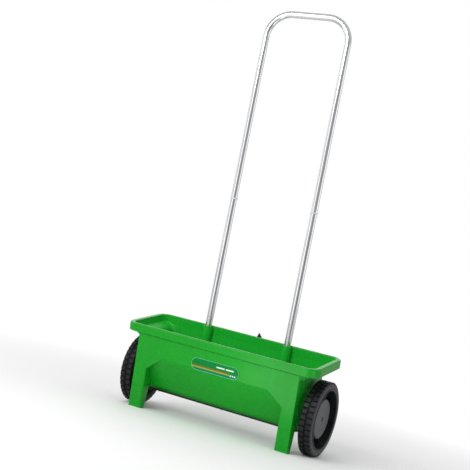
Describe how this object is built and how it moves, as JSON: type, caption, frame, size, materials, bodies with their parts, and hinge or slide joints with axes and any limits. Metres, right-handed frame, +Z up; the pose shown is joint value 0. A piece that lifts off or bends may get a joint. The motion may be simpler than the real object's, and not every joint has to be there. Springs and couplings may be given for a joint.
{
  "type": "garden drop spreader",
  "caption": "Walk-behind drop spreader: long plastic hopper on two legs and two wheels, fluted feed roller, dosing slide with lever, and a tall U-shaped tube handle",
  "frame": {"origin": "centre of the footprint box on the ground", "axes": "+Z up, +X along the axle to the driven wheel, -Y to the front where the label is, +Y to the side the user stands on"},
  "size_m": [0.5504, 0.2328, 1.111],
  "materials": {
    "green_plastic": "glossy moulded green plastic",
    "label_film": "printed film with plain colour bands",
    "bright_tube": "bright drawn tube",
    "ring_plastic": "light grey plastic ring",
    "black_plastic": "satin black moulded plastic",
    "hub_cap_grey": "dark grey satin plastic",
    "roller_plastic": "natural white plastic",
    "zinc_steel": "zinc plated steel"
  },
  "bodies": {
    "hopper_body": {"hopper": "green_plastic", "front_label": "label_film", "dosing_scale": "label_film", "lower_tube_left": "bright_tube", "lower_tube_right": "bright_tube", "upper_handle": "bright_tube", "joint_sleeve_left": "bright_tube", "joint_sleeve_right": "bright_tube", "joint_ring_left": "ring_plastic", "joint_ring_right": "ring_plastic", "joint_screw_lower_left": "zinc_steel", "joint_screw_lower_right": "zinc_steel", "joint_screw_upper_left": "zinc_steel", "joint_screw_upper_right": "zinc_steel", "socket_screw_left": "zinc_steel", "socket_screw_right": "zinc_steel", "axle_bush_left": "roller_plastic", "axle_bush_right": "roller_plastic", "slide_rail_front": "black_plastic", "slide_rail_rear": "black_plastic", "rail_screw_front_left": "zinc_steel", "rail_screw_front_middle": "zinc_steel", "rail_screw_front_right": "zinc_steel", "rail_screw_rear_left": "zinc_steel", "rail_screw_rear_middle": "zinc_steel", "rail_screw_rear_right": "zinc_steel", "lever_pivot_bolt": "zinc_steel", "lever_washer_front": "zinc_steel", "lever_washer_rear": "zinc_steel"},
    "drive_axle": {"axle": "zinc_steel", "feed_roller": "roller_plastic", "roller_pin_left": "zinc_steel", "roller_pin_right": "zinc_steel", "drive_pin": "zinc_steel", "wheel_right": "black_plastic", "hub_cap_right": "hub_cap_grey", "inner_washer_right": "zinc_steel", "outer_washer_right": "zinc_steel", "retaining_clip_right": "zinc_steel", "retaining_clip_left": "zinc_steel"},
    "left_wheel": {"wheel_left": "black_plastic", "hub_cap_left": "hub_cap_grey", "inner_washer_left": "zinc_steel", "outer_washer_left": "zinc_steel"},
    "lever": {"dosing_lever": "black_plastic"},
    "slide": {"dosing_slide": "black_plastic"}
  },
  "joints": [
    {"name": "axle_spin", "type": "hinge", "parent": "hopper_body", "child": "drive_axle", "pos_m": [0, 0.01248, 0.0942], "axis": [1, 0, 0], "continuous": true},
    {"name": "left_wheel_spin", "type": "hinge", "parent": "hopper_body", "child": "left_wheel", "pos_m": [-0.2571, 0.01248, 0.0942], "axis": [1, 0, 0], "continuous": true},
    {"name": "lever_turn", "type": "hinge", "parent": "hopper_body", "child": "lever", "pos_m": [0.0378, 0.09663, 0.14294], "axis": [0, 0.9777, 0.2098], "range_deg": [0, 13]},
    {"name": "slide_travel", "type": "slide", "parent": "hopper_body", "child": "slide", "axis": [-1, 0, 0], "range_m": [0, 0.0158]}
  ],
  "couplings": [
    {"joint": "slide_travel", "follows": "lever_turn", "m_per_rad": 0.0688}
  ]
}
